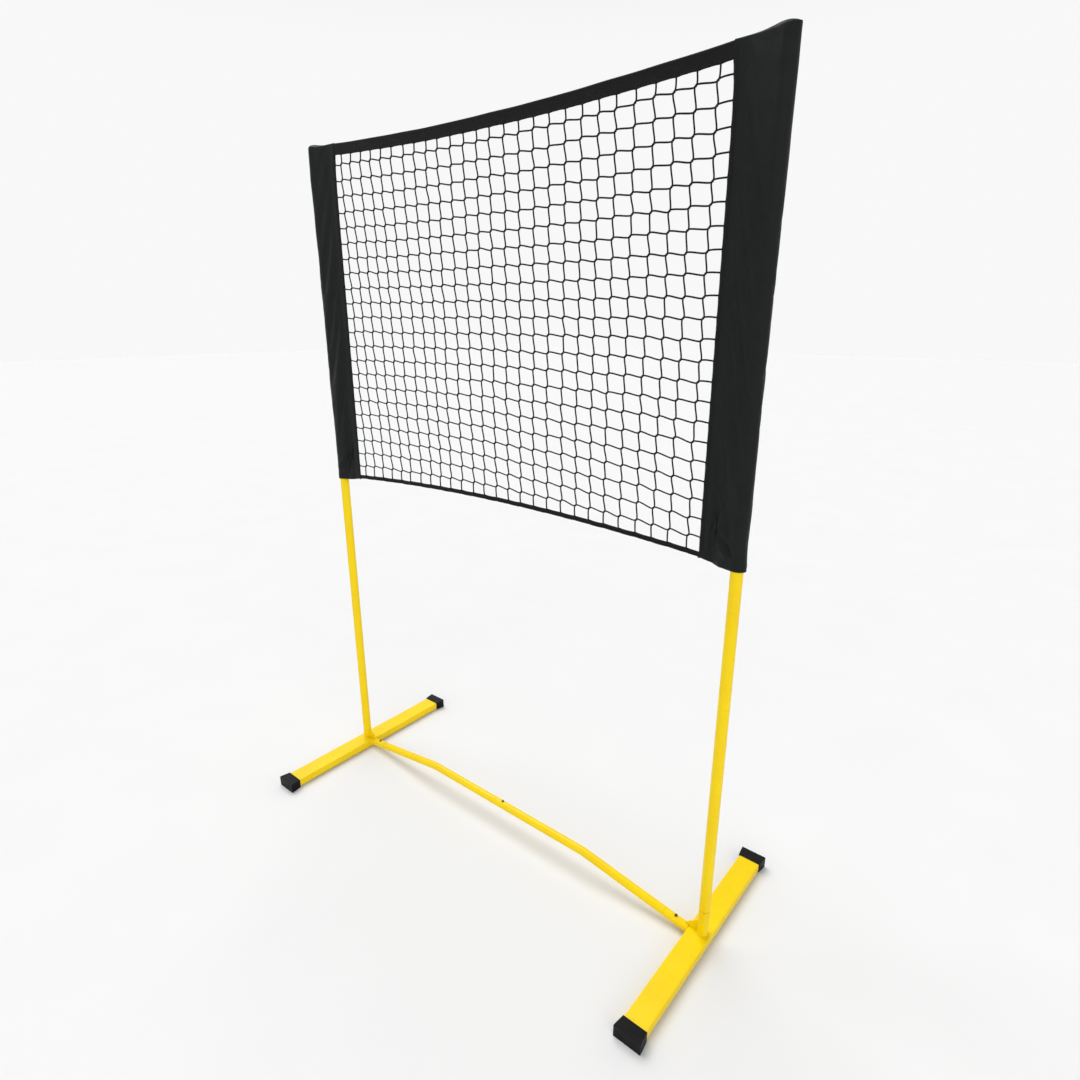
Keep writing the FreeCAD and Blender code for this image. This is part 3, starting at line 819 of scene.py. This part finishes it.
def post_shape(post_x, top):
    """Smooth stand-in for a post and its cap, for cloth to rest on. It is removed afterwards."""
    sides = 40
    profile = [(POST_R, z) for z in np.arange(top - POST_LENGTH, top - POST_TOP, 0.010)]
    profile += [(CAP_R, top - down) for down in CAP_RINGS]
    profile += [(CAP_R - CAP_BEVEL, top), (0.002, top)]
    angle = 2 * np.pi * np.arange(sides) / sides
    points = [(post_x + r * math.cos(a), r * math.sin(a), z) for r, z in profile for a in angle]
    mesh = bpy.data.meshes.new("post_shape")
    mesh.from_pydata(points, [], grid_faces(len(profile), sides, wrap=True).tolist())
    shape = bpy.data.objects.new("post_shape", mesh)
    bpy.context.scene.collection.objects.link(shape)
    return shape


def settle(cloth, pinned, post):
    """Lets the cloth hang over the post under gravity and returns its new points."""
    scene = bpy.context.scene
    group = cloth.vertex_groups.new(name="pinned")
    group.add(pinned, 1.0, "REPLACE")
    post.modifiers.new("Collision", "COLLISION")
    post.collision.thickness_outer = CLOTH_GAP
    post.collision.cloth_friction = 12
    simulation = cloth.modifiers.new("Cloth", "CLOTH")
    settings = simulation.settings
    settings.quality = 7
    settings.mass = 0.04
    settings.tension_stiffness = 45
    settings.compression_stiffness = 35
    settings.shear_stiffness = 14
    settings.bending_stiffness = 1.6
    settings.air_damping = 2.0
    settings.vertex_group_mass = "pinned"
    settings.shrink_min = -CLOTH_GROWTH
    simulation.collision_settings.distance_min = CLOTH_GAP
    simulation.collision_settings.collision_quality = 3
    simulation.point_cache.frame_start = 1
    simulation.point_cache.frame_end = SETTLE_FRAMES
    for step in range(1, SETTLE_FRAMES + 1):
        scene.frame_set(step)
    settled = cloth.evaluated_get(bpy.context.evaluated_depsgraph_get())
    points = np.array([v.co for v in settled.data.vertices])
    cloth.modifiers.remove(simulation)
    cloth.vertex_groups.remove(group)
    scene.frame_set(1)
    return points


def settled_share(z):
    """How much of the settled shape a height keeps, rather than its cut one."""
    above_hem = ramp(z - z.min(), *HEM_FREE)
    near_top = ramp(z - z.max(), *TOP_HELD)
    return (HEM_SHARE + (1 - HEM_SHARE) * above_hem) * (1 - TOP_LOSS * near_top)


def pull_fold(grid, side, post_x):
    """Draws in the diagonal valley between seam and post, just above the hem, and its two ridges."""
    x, y, z = side * grid[..., 0], grid[..., 1], grid[..., 2]
    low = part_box("net_right_sleeve")[0].z
    start = np.array([HALF_SPAN + PULL_LINE[0][0], low + PULL_LINE[0][1]])
    along = np.array([post_x + PULL_LINE[1][0], low + PULL_LINE[1][1]]) - start
    length = math.hypot(*along)
    share = ((x - start[0]) * along[0] + (z - start[1]) * along[1]) / length ** 2
    off = ((z - start[1]) * along[0] - (x - start[0]) * along[1]) / length
    off = off + PULL_BEND * np.sin(np.pi * np.clip(share, 0, 1))
    fade = np.clip(share * 4 + 0.6, 0, 1) * np.clip((1.05 - share) * 4, 0, 1)
    fade = fade * ramp(z - low, *PULL_ABOVE_HEM) * ramp(x - HALF_SPAN - PANEL_END, *PULL_PAST_PANEL)
    fade = fade * fade * (3 - 2 * fade)
    lift = sum(height * np.exp(-((off - place) / width) ** 2) for place, height, width in PULL_RIDGES)
    half = np.abs(y)
    lift = lift - PULL_VALLEY * np.exp(-(off / PULL_VALLEY) ** 2) * ramp(half, *PULL_OFF_SEAM)
    round_post = np.sqrt(np.maximum(POST_CLEAR ** 2 - (x - post_x) ** 2, 0))
    folded = np.maximum(half + lift * fade, np.minimum(half, round_post))
    grid[..., 1] = np.where(half > 1e-4, np.sign(y) * folded, y)


def overlock(side, ends):
    """Zigzag thread bound round a sleeve's inner edge."""
    heights = np.arange(ends[0], ends[1], OVERLOCK_PITCH / 4)
    phase = np.arange(len(heights)) % 4
    reach = np.array([OVERLOCK_BITE, -OVERLOCK_LOOP, OVERLOCK_BITE, -OVERLOCK_LOOP])[phase]
    y = np.array([-OVERLOCK_HALF, 0.0, OVERLOCK_HALF, 0.0])[phase]
    x = inner_edge(heights) - OVERLOCK_LOOP + reach
    path = np.stack([side * x, y, heights], -1)[None]
    return tubes(path, OVERLOCK_R, 5, np.array([0.05, 0.02, 1.0]))


def zigzag(side, ends, face):
    """Zigzag thread down one face of the flat panel, just inside its edge."""
    z = np.arange(ends[0] + ZIGZAG_MARGIN, ends[1] - ZIGZAG_MARGIN, ZIGZAG_STEP)
    swing = np.array(ZIGZAG_TURNS)[np.arange(len(z)) % 2]
    path = np.stack([side * (inner_edge(z) + swing), np.full(len(z), face * ZIGZAG_OFF), z], -1)[None]
    return tubes(path, ZIGZAG_R, 5, np.array([0.05, 1.0, 0.02]))


def build_sleeve(name, side):
    """One sleeve: cut, settled over its post, folded above the hem and stitched."""
    post_low, post_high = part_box(name + "_upper_post")
    post_x = abs(post_low.x + post_high.x) / 2
    half_width = half_section(post_x)[2]
    grid = sleeve_grid(side, post_x)
    rows, columns, _ = grid.shape
    faces = sleeve_mesh(grid, side)
    points = grid.reshape(-1, 3)
    uv = cloth_uv(points, rows, columns)
    if side < 0:
        uv = uv.reshape(-1, 4, 2)[:, ::-1].reshape(-1, 2)
    nylon = MATERIALS["sleeve_fabric"]
    piece = add_mesh(f"net_{name}_sleeve_cloth", points, faces, nylon, uv)
    pinned = np.nonzero(abs(points[:, 0]) < HALF_SPAN + PANEL_END + PIN_MARGIN)[0].tolist()
    post = post_shape(side * post_x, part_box(name + "_post_cap")[1].z)
    settled = settle(piece, pinned, post)
    points = points + (settled - points) * settled_share(points[:, 2])[:, None]
    bpy.data.objects.remove(post)
    grid = points.reshape(rows, columns, 3).copy()
    pull_fold(grid, side, post_x)
    piece.data.vertices.foreach_set("co", grid.astype(np.float32).ravel())
    drop_unused(piece, faces)
    thickened(piece, CLOTH, 1)
    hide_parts(f"net_{name}_sleeve")
    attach(piece, "net")

    normal = unit(np.cross(np.gradient(grid, axis=1), np.gradient(grid, axis=0))) * side
    height = grid[rows - 1, 0, 2] - grid[0, columns // 2, 2]
    hem_row = int(round(HEM_HEIGHT / (height / SLEEVE_ROWS)))
    body = slice(0, rows - TOP_ROWS)
    seam = int(round(PANEL_SEAM / (half_width / HALF_COLUMNS)))
    lines, outward = [], []
    for row in (hem_row, hem_row - 1):
        lines.append(grid[row, 1:-1])
        outward.append(normal[row, 1:-1])
    for column in (seam, columns - 1 - seam, 1, columns - 2):
        lines.append(grid[body, column])
        outward.append(normal[body, column])
    ends = (grid[hem_row, 0, 2], grid[rows - TOP_ROWS, 0, 2])
    corner = np.array([[side * (HALF_SPAN + CORNER_KNOT[0]), 0.0, grid[0, 0, 2] + CORNER_KNOT[1]]])
    points, faces, _ = joined([stitches(lines, outward), overlock(side, ends), zigzag(side, ends, -1),
                               zigzag(side, ends, 1), knot_parts(corner)])
    thread = add_mesh(f"net_{name}_sleeve_stitching", points, faces, STITCH_THREAD)
    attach(thread, "net")


def drop_unused(piece, faces):
    """Removes the back points of the top row, which the seam merged into the front ones."""
    unused = np.setdiff1d(np.arange(len(piece.data.vertices)), faces)
    work = bmesh.new()
    work.from_mesh(piece.data)
    work.verts.ensure_lookup_table()
    bmesh.ops.delete(work, geom=[work.verts[i] for i in unused], context="VERTS")
    work.to_mesh(piece.data)
    work.free()


# ---------------------------------------------------------------- CAD pieces

def finish_cad_nodes():
    """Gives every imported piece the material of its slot, welds their own, and foot caps soft edges."""
    for entry in frame["record"]["subparts"]:
        node = frame["nodes"][entry["node"]]
        is_weld = entry["node"].endswith("weld_beads")
        material = WELD_PAINT if is_weld else MATERIALS[entry["material_slot"]]
        node.data.materials.clear()
        node.data.materials.append(material)
        if entry["node"].endswith("foot_cap"):
            weld = node.modifiers.new("Joined", "WELD")
            weld.merge_threshold = 0.00002
            edge = node.modifiers.new("Soft_edges", "BEVEL")
            edge.width = 0.0009
            edge.segments = 3
            edge.limit_method = "ANGLE"
            edge.angle_limit = math.radians(14)
            edge.harden_normals = True


def flexing_springs():
    """The V springs behind the snap buttons: copies with meshes of their own, carried by each joint's parent
    body.
    """
    for joint in frame["record"]["behaviour"]["joints"]:
        for flexing in joint.get("deforming_nodes", []):
            source = frame["nodes"][flexing["node"]]
            piece = bpy.data.objects.new(flexing["node"] + "_leaf", source.data.copy())
            bpy.context.scene.collection.objects.link(piece)
            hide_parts(flexing["node"])
            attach(piece, joint["parent"])
            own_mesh(piece)


# ---------------------------------------------------------------- stage

def add_stage():
    """Pale floor, a sky that darkens upward, and two broad lamps."""
    mesh = bpy.data.meshes.new("floor")
    corners = [(FLOOR_REACH * x, FLOOR_REACH * y, 0) for x, y in ((-1, -1), (1, -1), (1, 1), (-1, 1))]
    mesh.from_pydata(corners, [], [(0, 1, 2, 3)])
    floor = bpy.data.objects.new("floor", mesh)
    bpy.context.scene.collection.objects.link(floor)
    n = Nodes("pale_floor", 0.9, 0.1)
    place = n.place()
    colour = n.blend(n.noise(place, 3.0, 4.0), (0.765, 0.765, 0.765), (0.795, 0.795, 0.795))
    mesh.materials.append(n.finish(colour, None, n.bump(n.noise(place, 160.0), 0.05, 0.001)))

    world = bpy.data.worlds.new("studio")
    world.use_nodes = True
    bpy.context.scene.world = world
    tree = world.node_tree
    place = tree.nodes.new("ShaderNodeTexCoord")
    split = tree.nodes.new("ShaderNodeSeparateXYZ")
    strength = tree.nodes.new("ShaderNodeMapRange")
    strength.interpolation_type = "SMOOTHSTEP"
    for socket, value in SKY:
        strength.inputs[socket].default_value = value
    tree.links.new(place.outputs["Generated"], split.inputs["Vector"])
    tree.links.new(split.outputs["Z"], strength.inputs["Value"])
    tree.links.new(strength.outputs["Result"], tree.nodes["Background"].inputs["Strength"])
    tree.nodes["Background"].inputs["Color"].default_value = (1.0, 1.0, 1.0, 1.0)
    for name, toward, energy, angle in LAMPS:
        lamp = bpy.data.lights.new(name, "SUN")
        lamp.energy = energy
        lamp.angle = math.radians(angle)
        holder = bpy.data.objects.new(name, lamp)
        holder.rotation_euler = Vector(toward).to_track_quat("Z", "Y").to_euler()
        holder.location = (0, 0, LAMP_HEIGHT)
        bpy.context.scene.collection.objects.link(holder)


def add_camera():
    """Camera and plain colour transform."""
    lens = bpy.data.cameras.new("camera")
    lens.lens = CAMERA_LENS
    lens.sensor_width = 36.0
    lens.clip_start = 0.05
    camera = bpy.data.objects.new("camera", lens)
    camera.location = CAMERA_PLACE
    camera.rotation_euler = (math.radians(90 + CAMERA_TILT), 0, math.radians(CAMERA_TURN))
    bpy.context.scene.collection.objects.link(camera)
    bpy.context.scene.camera = camera
    bpy.context.scene.view_settings.view_transform = "Standard"


add_stage()
add_camera()
finish_cad_nodes()
flexing_springs()
build_mesh()
build_band()
build_binding()
build_sleeve("left", -1)
build_sleeve("right", 1)
